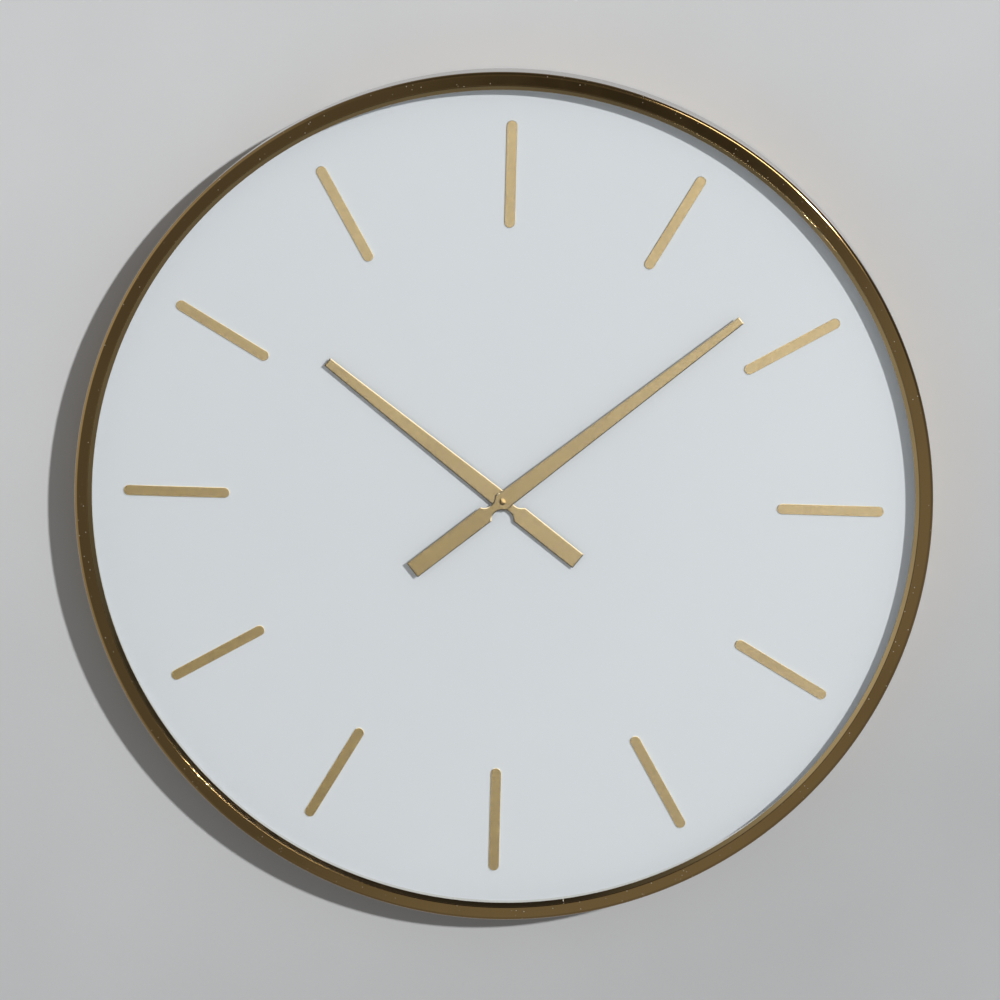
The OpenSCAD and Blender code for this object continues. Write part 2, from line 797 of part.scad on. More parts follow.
module middle_plate() {
    notch_x = coil_x - bobbin_d / 2 - 0.5;
    in_movement() color("#cfd2d0") difference() {
        slab(middle_front, plate_t) difference() {
            plate_outline();
            translate([notch_x, coil_foot[1] - 2.5]) square([mv_size, mv_size]);
        }
        peg(middle_front - 1, plate_t + 2, minute_rear_d / 2 + run_gap);
        peg(middle_front - 1, plate_t + 2, setting_r + run_gap, setting_at);
        pivot_holes(middle_front - 1, [minute_at, third_at, inter_at, rotor_at]);
        for (at = pillars) peg(middle_front - 1, plate_t + 2, pillar_r + touch, at, $fn = 32);
    }
}

module train_bridge() {
    right = pillar_low[0] + 2.3;
    in_movement() color("#cfd2d0") difference() {
        slab(bridge_front, plate_t) difference() {
            plate_outline();
            translate([right, -mv_size]) square([mv_size, 2 * mv_size]);
        }
        peg(bridge_front - 1, plate_t + 2, setting_r + run_gap, setting_at);
        pivot_holes(bridge_front - 1, [[0, 0], third_at, inter_at, rotor_at]);
        for (at = pillars) peg(bridge_front - 1, plate_t + 2, pillar_r - 0.5 + touch, at, $fn = 32);
    }
}

// Motion work

module minute_arbor() {
    nose = minute_front - mv_front;
    in_movement() color("#b89b5e") difference() {
        union() {
            peg(nose - nut_side - 0.4, nut_side + 0.8, minute_thread_d / 2);
            peg(nose, motion_wheel - nose, minute_arbor_d / 2);
            gear(motion_wheel - 0.1, pinion_t, cannon_n, cannon_m, cannon_first);
            peg(motion_wheel, centre_end - motion_wheel, minute_rear_d / 2);
        }
        peg(centre_end - plate_t - 0.3, 2 * plate_t, pivot_d / 2 + run_gap, $fn = 24);
        rotate([0, minute_angle, 0]) for (side = [-1, 1])
            translate([0, nose + hand_t / 2 - 0.2, side * (minute_flats + minute_arbor_d) / 2])
                cube([2 * minute_arbor_d, hand_t + 0.6, minute_arbor_d], center = true);
    }
}

module centre_wheel() {
    in_movement() color("#d8c27a") difference() {
        union() {
            gear(centre_level, wheel_t, centre_n, centre_m, centre_first);
            peg(centre_level - 0.1, wheel_t + 0.5, minute_rear_d / 2 + 1);
        }
        peg(centre_level - 1, wheel_t + 3, minute_rear_d / 2 + touch);
    }
}

module hour_wheel() {
    front = hour_front - mv_front - 0.2;
    in_movement() color("#e6e4da") difference() {
        union() {
            peg(front, motion_front - front, hour_pipe_d / 2);
            gear(motion_front, pinion_t, hour_n, hour_m, hour_first);
        }
        peg(front - 1, motion_front - front + 4, minute_arbor_d / 2 + run_gap);
    }
}

module minute_wheel() {
    in_movement() color("#e6e4da") {
        gear(motion_wheel, wheel_t, minute_n, cannon_m, minute_first, minute_at);
        gear(motion_front - 0.1, motion_wheel - motion_front + 0.1,
            minute_pinion_n, hour_m, minute_pinion_first, minute_at);
        peg(mv_wall - 0.8, middle_front + plate_t + 0.6 - mv_wall, pivot_d / 2, minute_at, $fn = 24);
        peg(mv_wall + 0.1, middle_front - mv_wall - 0.2, arbor_d / 2, minute_at, $fn = 24);
    }
}

module setting_pinion() {
    in_movement() color("#e6e4da") {
        gear(motion_wheel - 0.1, pinion_t, setting_n, setting_m, setting_first, setting_at);
        peg(mv_wall - 0.8, 2, pivot_d / 2, setting_at, $fn = 24);
        peg(mv_wall + 0.1, mv_depth + cover_t + knob_h - mv_wall - 0.9, setting_r, setting_at);
    }
}

module setting_knob() {
    flutes = 24;
    in_movement() color("#3a3c40") translate([0, mv_depth + cover_t + 0.2, 0]) difference() {
        translate([setting_at[0], 0, setting_at[1]]) slab(0, knob_h) difference() {
            circle(knob_d / 2);
            for (i = [0:flutes - 1])
                translate(polar(knob_d / 2 + 0.2, i * 360 / flutes)) circle(0.6, $fn = 16);
        }
        peg(-1, knob_h, setting_r + touch, setting_at);
    }
}

// Going train

// An arbor between its front shoulder and the bridge, with a pivot at each end
module train_arbor(at, shoulder) {
    peg(shoulder, bridge_front - 0.1 - shoulder, arbor_d / 2, at, $fn = 24);
    peg(shoulder - plate_t, bridge_front + 2 * plate_t - 0.1 - shoulder, pivot_d / 2, at, $fn = 24);
}

module third_wheel() {
    in_movement() color("#e6e4da") {
        gear(centre_level - 0.1, pinion_t, leaf_n, centre_m, third_pinion_first, third_at);
        gear(third_level, wheel_t, third_n, third_m, third_first, third_at);
        train_arbor(third_at, middle_front + plate_t + 0.1);
    }
}

module seconds_wheel() {
    in_movement() color("#e6e4da") {
        gear(third_level - 0.1, pinion_t, leaf_n, third_m, second_pinion_first);
        gear(second_level, wheel_t, second_n, second_m, second_first);
        train_arbor([0, 0], centre_end + 0.2);
    }
}

module intermediate_wheel() {
    in_movement() color("#e6e4da") {
        gear(second_level - 0.1, pinion_t, inter_pinion_n, second_m, inter_pinion_first, inter_at);
        gear(inter_level, wheel_t, inter_n, inter_m, inter_first, inter_at);
        train_arbor(inter_at, middle_front + plate_t + 0.1);
    }
}

module rotor_pinion() {
    in_movement() color("#e6e4da") {
        gear(inter_level - 0.1, pinion_t, rotor_n, inter_m, rotor_first, rotor_at);
        train_arbor(rotor_at, middle_front + plate_t + 0.1);
    }
}

module rotor_magnet() {
    in_movement() color("#4b4d52") difference() {
        peg(magnet_front, magnet_len, magnet_d / 2, rotor_at);
        peg(magnet_front - 1, magnet_len + 2, arbor_d / 2 + touch, rotor_at, $fn = 24);
    }
}

// Motor and circuit

// A flat bar with round ends from one place to another
module arm_2d(from, to, width) {
    span = to - from;
    translate(from) rotate(atan2(span[1], span[0])) {
        translate([0, -width / 2]) square([norm(span), width]);
        circle(width / 2);
        translate([norm(span), 0]) circle(width / 2);
    }
}

module stator() {
    hole_r = magnet_d / 2 + stator_gap;
    elbow_x = coil_x - bobbin_d / 2 - core_w / 2 - 0.2;
    in_movement() color("#9ea1a4") slab(stator_level, core_t) difference() {
        union() {
            translate(rotor_at) circle(hole_r + 2.5);
            for (end = [coil_top, coil_foot]) {
                arm_2d([elbow_x, end[1]], end, core_w);
                arm_2d(rotor_at, [elbow_x, end[1]], core_w);
            }
        }
        translate(rotor_at) circle(hole_r);
        for (at = [coil_top, coil_foot]) translate(at) circle(pillar_r - 0.3 + touch);
        translate(rotor_at) for (side = [-1, 1])
            translate([side * (hole_r + 1.5), 0]) square([2.2, 0.5], center = true);
    }
}

module coil_core() {
    in_movement() color("#9ea1a4") slab(stator_level - core_t, core_t) difference() {
        arm_2d(coil_top, coil_foot, core_w);
        for (at = [coil_top, coil_foot]) translate(at) circle(pillar_r - 0.3 + touch);
    }
}

module along_coil(from, length, r) {
    translate([coil_x, stator_level - core_t / 2, bobbin_z + from]) cylinder(h = length, r = r);
}

module coil_bobbin() {
    flange = 0.8;
    in_movement() color("#d9d4c4") difference() {
        union() {
            along_coil(-bobbin_len / 2, bobbin_len, bobbin_wall_r);
            along_coil(-bobbin_len / 2, flange, bobbin_d / 2);
            along_coil(bobbin_len / 2 - flange, flange, bobbin_d / 2);
        }
        translate([coil_x, stator_level - core_t / 2, bobbin_z])
            cube([core_w + 2 * touch, core_t + 2 * touch, bobbin_len + 2], center = true);
    }
}

module coil_winding() {
    length = bobbin_len - 1.6 - 2 * touch;
    in_movement() color("#a5522e") difference() {
        along_coil(-length / 2, length, winding_r);
        along_coil(-length, 2 * length, bobbin_wall_r + touch);
    }
}

module circuit_board() {
    in_movement() color("#2e6b3f") slab(pcb_front, pcb_t)
        translate([pcb_left, pcb_bottom]) square([pcb_right - pcb_left, pcb_top - pcb_bottom]);
}

module chip_cap() {
    in_movement() color("#15171a") intersection() {
        peg(pcb_front + pcb_t, 0.9, 2.5, [pcb_left + 3.4, pcb_top - 4.2]);
        translate([pcb_left + 3.4, pcb_front + pcb_t - 2.6, pcb_top - 4.2]) sphere(3.5);
    }
}

module quartz_crystal() {
    in_movement() color("#c3c6c8") translate([pcb_right - 7, pcb_front + pcb_t + 1, pcb_top - 3])
        rotate([0, 90, 0]) cylinder(h = 6, r = 1, $fn = 32);
}

// Contacts: a strip up the end wall of the battery bay into the train chamber, and a foot on the board

module contact_strip(side) {
    wall_x = side * (inner - contact_t / 2);
    translate([wall_x - contact_t / 2, contact_front, cell_z - 4])
        cube([contact_t, contact_w, chamber_z + 1.2 - cell_z + 4]);
}

module positive_contact() {
    nub_x = cell_x + cell_len;
    in_movement() color("#c8cacc") {
        contact_strip(1);
        translate([nub_x, cell_axis_depth - 2, cell_z - 2]) cube([inner - nub_x, 4, 4]);
        translate([inner - 3, pcb_front + pcb_t, chamber_z + contact_t + 0.3]) cube([3, contact_t, 1]);
    }
}

module negative_contact() {
    in_movement() color("#c8cacc") {
        contact_strip(-1);
        translate([-inner, cell_axis_depth, cell_z]) rotate([0, 90, 0])
            cylinder(h = cell_x + inner, r1 = 3.2, r2 = 1.8);
        translate([-inner, pcb_front + pcb_t, chamber_z]) cube([pcb_left + 1.4 + inner, 2, contact_t]);
        translate([pcb_left, pcb_front + pcb_t, chamber_z]) cube([1.4, contact_t, 1.4]);
    }
}

// The can is rolled in behind its positive end, and its edges are rounded
module battery() {
    body_len = cell_len - cell_nub_len;
    r = cell_d / 2;
    in_movement() color("#5e6468") translate([cell_x, cell_axis_depth, cell_z]) rotate([0, 90, 0])
        rotate_extrude() polygon([
            [0, 0],
            [r - 0.4, 0],
            [r, 0.4],
            [r, body_len - 2],
            [r - 0.35, body_len - 1.5],
            [r - 0.35, body_len - 1.1],
            [r, body_len - 0.8],
            [r, body_len - 0.4],
            [r - 0.4, body_len],
            [cell_nub_d / 2, body_len],
            [cell_nub_d / 2, cell_len - 0.3],
            [cell_nub_d / 2 - 0.3, cell_len],
            [0, cell_len]
        ]);
}

case_frame();
bezel_ring();
glass_lens();
spacer_ring();
dial_plate();
for (i = [1:bar_count]) hour_bar(i);
backing_board();
board_lugs();
board_screws();
hanger_plate();
wall_pads();
hour_hand();
hour_collet();
minute_hand();
cap_nut();
threaded_bush();
bush_washer();
bush_nut();
rubber_washer();
movement_case();
movement_cover();
middle_plate();
train_bridge();
minute_arbor();
centre_wheel();
hour_wheel();
minute_wheel();
setting_pinion();
setting_knob();
third_wheel();
seconds_wheel();
intermediate_wheel();
rotor_pinion();
rotor_magnet();
stator();
coil_core();
coil_bobbin();
coil_winding();
circuit_board();
chip_cap();
quartz_crystal();
positive_contact();
negative_contact();
battery();
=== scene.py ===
"""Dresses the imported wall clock: camera, wall, studio light, procedural finishes and fine detail."""
import math

import bmesh
import bpy
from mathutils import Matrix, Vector


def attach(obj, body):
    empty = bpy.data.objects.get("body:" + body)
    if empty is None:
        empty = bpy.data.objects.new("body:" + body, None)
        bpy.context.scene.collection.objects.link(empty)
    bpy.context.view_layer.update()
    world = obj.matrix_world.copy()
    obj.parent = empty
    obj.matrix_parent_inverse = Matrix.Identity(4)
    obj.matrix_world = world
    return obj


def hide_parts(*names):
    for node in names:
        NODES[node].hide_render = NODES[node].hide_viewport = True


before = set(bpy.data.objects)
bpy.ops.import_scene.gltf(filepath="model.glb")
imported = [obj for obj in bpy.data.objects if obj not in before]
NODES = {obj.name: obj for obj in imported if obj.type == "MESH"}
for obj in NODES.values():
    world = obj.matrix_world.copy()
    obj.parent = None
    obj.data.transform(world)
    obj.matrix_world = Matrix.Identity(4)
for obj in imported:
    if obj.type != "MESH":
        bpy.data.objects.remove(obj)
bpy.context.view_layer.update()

SCENE = bpy.context.scene
MM = 0.001
AXIS_Z = -0.340    # height of the clock's axis in the hanging frame
FRONT_Y = -0.048   # the case's front face


# Mesh helpers. Angles of faces and edges are in degrees, radii and depths in mm.

SEGMENTS = 720         # of a turned ring
MOST = 0.49            # of an edge that the rounding of one corner may take
WELD = 2e-6            # vertices nearer than this (m) are joined
FLAT = 1.0             # faces that turn by less than this are merged
LOOKS_FORWARD = -0.9   # the normal's Y of a face towards the room stays below this


def in_scene(name, data):
    obj = bpy.data.objects.new(name, data)
    SCENE.collection.objects.link(obj)
    return obj


def add_mesh(name, verts, faces):
    mesh = bpy.data.meshes.new(name)
    mesh.from_pydata([tuple(v) for v in verts], [], faces)
    mesh.validate()
    return in_scene(name, mesh)


def edges_above(bm, angle):
    """The edges between two faces that turn by more than the angle."""
    return [e for e in bm.edges if len(e.link_faces) == 2 and e.calc_face_angle(0.0) > math.radians(angle)]


def shade(obj, angle):
    """Smooth shading, with the edges from the angle on kept sharp and the large faces kept even."""
    mesh = obj.data
    bm = bmesh.new()
    bm.from_mesh(mesh)
    bmesh.ops.recalc_face_normals(bm, faces=bm.faces)
    for face in bm.faces:
        face.smooth = True
    for edge in bm.edges:
        edge.smooth = len(edge.link_faces) == 2 and edge.calc_face_angle(0.0) < math.radians(angle)
    bm.to_mesh(mesh)
    bm.free()
    mesh.update()
    weighted = obj.modifiers.new("weighted", "WEIGHTED_NORMAL")
    weighted.keep_sharp = True
    weighted.weight = 100
    depsgraph = bpy.context.evaluated_depsgraph_get()
    obj.data = bpy.data.meshes.new_from_object(obj.evaluated_get(depsgraph), depsgraph=depsgraph)
    obj.data.name = obj.name
    obj.modifiers.clear()
    bpy.data.meshes.remove(mesh)


def fillet(corners, steps):
    """A closed profile with rounded corners. Each corner is its radius, its depth and its own rounding."""
    out = []
    points = [Vector(corner[:2]) for corner in corners]
    for i, corner in enumerate(points):
        back = points[i - 1] - corner
        ahead = points[(i + 1) % len(points)] - corner
        half = back.angle(ahead) / 2
        reach = min(corners[i][2] / math.tan(half), MOST * back.length, MOST * ahead.length)
        radius = reach * math.tan(half)
        centre = corner + (back.normalized() + ahead.normalized()).normalized() * (radius / math.sin(half))
        start = corner + back.normalized() * reach - centre
        stop = corner + ahead.normalized() * reach - centre
        sweep = start.angle_signed(stop)
        for k in range(steps + 1):
            turn = -sweep * k / steps
            c, s = math.cos(turn), math.sin(turn)
            out.append(centre + Vector((start.x * c - start.y * s, start.x * s + start.y * c)))
    return out


def clock_point(radius, depth, angle):
    """A point by radius, depth behind the front face and clockwise angle from twelve (radians)."""
    return Vector((radius * MM * math.sin(angle), FRONT_Y + depth * MM, AXIS_Z + radius * MM * math.cos(angle)))


def lathe(name, profile, start=0.0, sweep=360.0):
    """Turns a closed profile of radius and depth about the clock's axis."""
    closed = sweep >= 360.0
    rows = SEGMENTS if closed else SEGMENTS + 1
    count = len(profile)
    verts, faces = [], []
    for i in range(rows):
        angle = math.radians(start + sweep * i / SEGMENTS)
        verts += [clock_point(radius, depth, angle) for radius, depth in profile]
    for i in range(SEGMENTS):
        a, b = i * count, ((i + 1) % rows) * count
        for k in range(count):
            n = (k + 1) % count
            faces.append((a + k, a + n, b + n, b + k))
    if not closed:
        faces += [tuple(range(count)), tuple(range((rows - 1) * count, rows * count))[::-1]]
    ring = add_mesh(name, verts, faces)
    shade(ring, angle=35)
    return ring


def solid_of(node):
    """A clean copy of a node's solid, to be edited."""
    bm = bmesh.new()
    bm.from_mesh(NODES[node].data)
    bmesh.ops.remove_doubles(bm, verts=bm.verts, dist=WELD)
    bmesh.ops.dissolve_limit(bm, angle_limit=math.radians(FLAT), verts=bm.verts, edges=bm.edges)
    return bm


def finished(bm, name, angle):
    """An object from the edited copy, shaded with its edges from the angle on kept sharp."""
    bmesh.ops.triangulate(bm, faces=[f for f in bm.faces if len(f.verts) > 4])
    mesh = bpy.data.meshes.new(name)
    bm.to_mesh(mesh)
    bm.free()
    obj = in_scene(name, mesh)
    shade(obj, angle)
    return obj


def softened(node, name, width):
    """A copy of a node's solid with its sharp edges broken by a small round."""
    bm = solid_of(node)
    bmesh.ops.bevel(bm, geom=edges_above(bm, 30), offset=width * MM, segments=2, profile=0.5,
                    affect="EDGES", clamp_overlap=True)
    return finished(bm, name, angle=40)


def chamfered(node, name, width, depth):
    """A copy of a flat node's solid with a chamfer, width by depth, along the edges of its front face."""
    bm = solid_of(node)
    rim = [e for e in edges_above(bm, 60) if any(f.normal.y < LOOKS_FORWARD for f in e.link_faces)]
    slopes = bmesh.ops.bevel(bm, geom=rim, offset=width * MM, segments=1, affect="EDGES",
                             clamp_overlap=False)["faces"]
    bm.normal_update()
    # The bevel is as deep as it is wide, so its lower edge moves forward by the difference
    for vert in {v for face in slopes for v in face.verts}:
        if all(face.normal.y > LOOKS_FORWARD for face in vert.link_faces):
            vert.co.y -= (width - depth) * MM
    return finished(bm, name, angle=20)


# Nodes of the finishes and of the studio's light

class Graph:
    """A node tree. A value given to a node is a number, a colour or another node's output."""

    def __init__(self, tree):
        self.tree = tree
        self.tree.nodes.clear()

    def add(self, kind):
        return self.tree.nodes.new(kind)

    def feed(self, socket, value):
        if isinstance(value, (int, float)):
            socket.default_value = value
        elif isinstance(value, tuple):
            socket.default_value = (*value, 1.0)
        else:
            self.tree.links.new(value, socket)

    def span(self, source, low, high, out_low=0.0, out_high=1.0, easing="LINEAR"):
        """The source's range from low to high, mapped to the range from out_low to out_high."""
        node = self.add("ShaderNodeMapRange")
        node.interpolation_type = easing
        for name, value in (("Value", source), ("From Min", low), ("From Max", high),
                            ("To Min", out_low), ("To Max", out_high)):
            self.feed(node.inputs[name], value)
        return node.outputs[0]

    def calc(self, operation, a, b):
        node = self.add("ShaderNodeMath")
        node.operation = operation
        self.feed(node.inputs[0], a)
        self.feed(node.inputs[1], b)
        return node.outputs[0]

    def mix(self, factor, a, b, data="FLOAT", blend="MIX"):
        """From a to b by the factor, as numbers or as colours."""
        node = self.add("ShaderNodeMix")
        node.data_type = data
        node.blend_type = blend
        kind = "RGBA" if data == "RGBA" else "VALUE"
        self.feed(node.inputs["Factor"], factor)
        for name, value in (("A", a), ("B", b)):
            self.feed(next(s for s in node.inputs if s.name == name and s.type == kind), value)
        return next(s for s in node.outputs if s.type == kind)

    def split(self, vector):
        """The X, Y and Z of a vector, by name."""
        node = self.add("ShaderNodeSeparateXYZ")
        self.feed(node.inputs[0], vector)
        return node.outputs


class Look(Graph):
    """A material with one Principled shader and the nodes that vary it."""

    def __init__(self, name, base, rough, metallic=0.0):
        self.material = bpy.data.materials.new(name)
        self.material.use_nodes = True
        super().__init__(self.material.node_tree)
        self.output = self.add("ShaderNodeOutputMaterial")
        self.shader = self.add("ShaderNodeBsdfPrincipled")
        self.feed(self.output.inputs["Surface"], self.shader.outputs[0])
        self.coords = self.add("ShaderNodeTexCoord").outputs["Object"]
        self.normal = None
        self.set("Base Color", base)
        self.set("Roughness", rough)
        self.set("Metallic", metallic)

    def set(self, socket, value):
        self.feed(self.shader.inputs[socket], value)

    def coat(self, rough, ior):
        """A full clear coat, which gives lamps a white sparkle on top of the base's own tint."""
        self.set("Coat Weight", 1.0)
        self.set("Coat Roughness", rough)
        self.set("Coat IOR", ior)

    def stretched(self, scale, turn=(0.0, 0.0, 0.0)):
        node = self.add("ShaderNodeMapping")
        node.inputs["Scale"].default_value = scale
        node.inputs["Rotation"].default_value = turn
        self.feed(node.inputs["Vector"], self.coords)
        return node.outputs[0]

    def texture(self, kind, at, **values):
        """A texture node with its inputs' values by name."""
        node = self.add(kind)
        self.feed(node.inputs["Vector"], at or self.coords)
        for name, value in values.items():
            self.feed(node.inputs[name], value)
        return node

    def noise(self, scale, detail=3.0, rough=0.5, at=None):
        node = self.texture("ShaderNodeTexNoise", at, Scale=scale, Detail=detail, Roughness=rough)
        return node.outputs["Fac"]

    def cells(self, scale):
        return self.texture("ShaderNodeTexVoronoi", None, Scale=scale).outputs["Distance"]

    def bands(self, direction, scale, distortion=0.0):
        node = self.texture("ShaderNodeTexWave", None, Scale=scale, Distortion=distortion)
        node.bands_direction = direction
        return node.outputs["Fac"]

    def tint(self, factor, low, high):
        """A colour from low to high."""
        return self.mix(factor, low, high, "RGBA")

    def tint_by(self, a, b):
        """The product of two colours."""
        return self.mix(1.0, a, b, "RGBA", "MULTIPLY")

    def facing(self, full, gone):
        """1 where the surface turns away from the clock's front, 0 on faces that look forward."""
        normal = self.split(self.add("ShaderNodeNewGeometry").outputs["True Normal"])
        return self.span(self.calc("ABSOLUTE", normal["Y"], 0.0), full, gone)

    def swap(self, factor, kind):
        """Another shader of that kind in place of the main one, where the factor is 1."""
        other = self.add(kind)
        mix = self.add("ShaderNodeMixShader")
        for socket, value in zip(mix.inputs, (factor, self.shader.outputs[0], other.outputs[0])):
            self.feed(socket, value)
        self.feed(self.output.inputs["Surface"], mix.outputs[0])
        return other

    def bump(self, height, depth):
        """Fine relief of that depth in mm, on top of the relief before it."""
        node = self.add("ShaderNodeBump")
        node.inputs["Strength"].default_value = 1.0
        node.inputs["Distance"].default_value = depth * MM
        self.feed(node.inputs["Height"], height)
        if self.normal:
            self.feed(node.inputs["Normal"], self.normal)
        self.normal = node.outputs[0]
        self.set("Normal", self.normal)


# Finishes. Scales of textures are per metre, depths of relief in mm.

def scaled(colour, factor):
    return tuple(min(1.0, c * factor) for c in colour)


def metal(name, light, dark, rough, rough_spread, cloud_scale, grain_scale, grain_depth,
          clouds=(4.0, 0.6, 0.35, 0.7)):
    """Polished or satin metal: cloudy tone, uneven gloss and a fine orange peel.

    The clouds are their detail and roughness, and the noise at which they begin and are full.
    """
    look = Look(name, light, rough, 1.0)
    detail, fineness, begin, full = clouds
    look.tone = look.tint(look.span(look.noise(cloud_scale, detail, fineness), begin, full), light, dark)
    look.set("Base Color", look.tone)
    look.set("Roughness", look.span(look.noise(cloud_scale * 11, 3.0), 0.3, 0.7,
                                    rough - rough_spread, rough + rough_spread))
    look.bump(look.noise(grain_scale, 2.0), grain_depth)
    return look


def antique_brass():
    """The case: dark polished brass under lacquer, with a slow waviness, a cloudy patina and tiny pale pits."""
    look = metal("antique_brass", (0.355, 0.217, 0.064), (0.275, 0.161, 0.040), rough=0.10, rough_spread=0.02,
                 cloud_scale=3.5, grain_scale=620.0, grain_depth=0.004, clouds=(2.0, 0.5, 0.38, 0.64))
    look.bump(look.noise(9.0, 1.0), 0.02)
    dots = look.span(look.cells(230.0), 0.04, 0.17, 1.0, 0.0)
    patches = look.span(look.noise(60.0, 2.0), 0.49, 0.57)
    pits = look.calc("MULTIPLY", dots, patches)
    look.set("Base Color", look.tint(pits, look.tone, (0.46, 0.42, 0.34)))
    look.set("Metallic", look.span(pits, 0.0, 1.0, 1.0, 0.1))
    look.bump(pits, 0.012)
    look.coat(0.10, 1.5)
    return look.material


def bezel_brass():
    """The snap ring: a little paler than the case, and darker along its lower part by painted shade."""
    look = metal("bezel_brass", (0.42, 0.30, 0.125), (0.36, 0.25, 0.10), rough=0.12, rough_spread=0.03,
                 cloud_scale=9.0, grain_scale=700.0, grain_depth=0.002)
    place = look.split(look.coords)
    height = look.calc("ADD", look.calc("ADD", place["Z"], -AXIS_Z), look.calc("MULTIPLY", place["X"], 0.3))
    # Painted shade: the ring is darkened towards its lower left, deepening its dark reflection there
    painted_shade = look.tint(look.span(height, -0.35, -0.22), (0.50, 0.46, 0.42), (1.0, 1.0, 1.0))
    look.set("Base Color", look.tint_by(look.tone, painted_shade))
    look.coat(0.10, 1.5)
    return look.material


def satin_gold():
    """Anodised satin gold with a very fine blasted grain, and paler polished edges."""
    look = Look("satin_gold", (0.38, 0.27, 0.09), 0.26, 1.0)
    clouds = look.span(look.noise(14.0, 4.0, 0.6), 0.35, 0.7)
    tone = look.tint(clouds, (0.362, 0.252, 0.081), (0.404, 0.286, 0.096))
    grain = look.span(look.noise(850.0, 2.0, 0.7), 0.34, 0.66)
    tone = look.tint_by(tone, look.tint(grain, (0.84, 0.83, 0.79), (1.16, 1.17, 1.21)))
    edge = look.facing(0.97, 0.92)
    look.set("Base Color", look.tint(edge, tone, (0.62, 0.50, 0.28)))
    look.set("Roughness", look.span(edge, 0.0, 1.0, 0.26, 0.14))
    look.coat(0.12, 1.9)
    look.bump(look.noise(1900.0, 2.0), 0.008)
    return look.material


def painted(name, base, rough, grain_scale, grain_depth, tone, cloud_scale):
    """A coated surface with a fine grain: faintly cloudy in tone, by that share, and in gloss."""
    look = Look(name, base, rough)
    clouds = look.span(look.noise(cloud_scale, 4.0, 0.55), 0.3, 0.7)
    look.set("Base Color", look.tint(clouds, scaled(base, 1 - tone), scaled(base, 1 + tone)))
    look.set("Roughness", look.span(look.noise(cloud_scale * 8, 2.0), 0.3, 0.7, rough - 0.04, rough + 0.04))
    look.bump(look.noise(grain_scale, 2.0), grain_depth)
    return look.material


def hardboard():
    """Brown hardboard seen from its screen side: pressed fibres and the fine weave of the press's wire screen."""
    look = Look("hardboard", (0.22, 0.12, 0.052), 0.6)
    fibres = look.noise(420.0, 5.0, 0.7, look.stretched((1.0, 1.0, 0.5), (0.0, 0.6, 0.0)))
    body = look.tint(look.span(fibres, 0.3, 0.7), (0.165, 0.087, 0.037), (0.27, 0.15, 0.068))
    blotches = look.span(look.noise(6.0, 5.0, 0.65), 0.35, 0.7)
    body = look.tint_by(body, look.tint(blotches, (0.84, 0.82, 0.80), (1.12, 1.12, 1.12)))
    dots = look.span(look.cells(420.0), 0.0, 0.16, 1.0, 0.0)
    flecks = look.calc("MULTIPLY", dots, look.span(look.noise(45.0), 0.52, 0.6))
    look.set("Base Color", look.tint(flecks, body, (0.42, 0.28, 0.16)))
    look.set("Roughness", look.span(fibres, 0.3, 0.7, 0.5, 0.7))
    wires = [look.bands(direction, 150.0, 0.4) for direction in ("X", "Z")]
    look.bump(look.calc("MULTIPLY", *wires), 0.12)
    look.bump(fibres, 0.05)
    return look.material


def clear_glass():
    """Clear sheet glass that lets the light for the pieces behind it straight through."""
    look = Look("clear_glass", (1.0, 1.0, 1.0), 0.0)
    look.set("Transmission Weight", 1.0)
    look.set("IOR", 1.5)
    look.set("Base Color", look.tint(look.noise(3.0, 1.0), (0.985, 0.996, 0.992), (1.0, 1.0, 1.0)))
    ray = look.add("ShaderNodeLightPath").outputs
    straight = look.calc("MAXIMUM", ray["Is Shadow Ray"], ray["Is Diffuse Ray"])
    look.swap(look.calc("MAXIMUM", straight, ray["Is Glossy Ray"]), "ShaderNodeBsdfTransparent")
    return look.material


def pale_metal():
    """The inner wall under the glass: pale polished metal that gives the dial an even, soft light back."""
    look = metal("pale_metal", (0.80, 0.76, 0.66), (0.76, 0.71, 0.60), rough=0.14, rough_spread=0.03,
                 cloud_scale=12.0, grain_scale=600.0, grain_depth=0.002)
    soft = look.swap(look.add("ShaderNodeLightPath").outputs["Is Diffuse Ray"], "ShaderNodeBsdfDiffuse")
    look.feed(soft.inputs["Color"], (0.42, 0.43, 0.44))
    return look.material


def rubber():
    """Matt black rubber with a mottled tone and a coarse skin."""
    base = (0.028, 0.028, 0.028)
    look = Look("black_rubber", base, 0.7)
    look.set("Roughness", look.span(look.noise(300.0, 3.0), 0.3, 0.7, 0.62, 0.8))
    look.set("Base Color", look.tint(look.noise(120.0, 3.0), scaled(base, 0.8), scaled(base, 1.3)))
    look.bump(look.noise(1400.0, 3.0), 0.03)
    return look.material


def moulded(name, base, rough, spark_scale=1600.0, spark_depth=0.02):
    """Moulded plastic with a spark-eroded texture and faint flow marks."""
    look = Look(name, base, rough)
    flow = look.noise(30.0, 3.0, 0.5, look.stretched((1.0, 1.0, 3.0)))
    look.set("Base Color", look.tint(flow, scaled(base, 0.9), scaled(base, 1.12)))
    look.set("Roughness", look.span(look.noise(500.0, 3.0), 0.3, 0.7, rough - 0.06, rough + 0.06))
    look.bump(look.noise(spark_scale, 2.0), spark_depth)
    return look.material


def zinc():
    """Zinc plate: pale steel with faint blue and straw clouds and rolling lines."""
    look = Look("zinc_plate", (0.62, 0.62, 0.60), 0.34, 1.0)
    clouds = look.span(look.noise(60.0, 4.0, 0.6), 0.3, 0.7)
    look.set("Base Color", look.tint(clouds, (0.56, 0.58, 0.62), (0.66, 0.64, 0.56)))
    lines = look.noise(500.0, 3.0, 0.5, look.stretched((0.06, 1.0, 1.0)))
    look.set("Roughness", look.span(lines, 0.3, 0.7, 0.26, 0.42))
    look.bump(lines, 0.01)
    return look.material


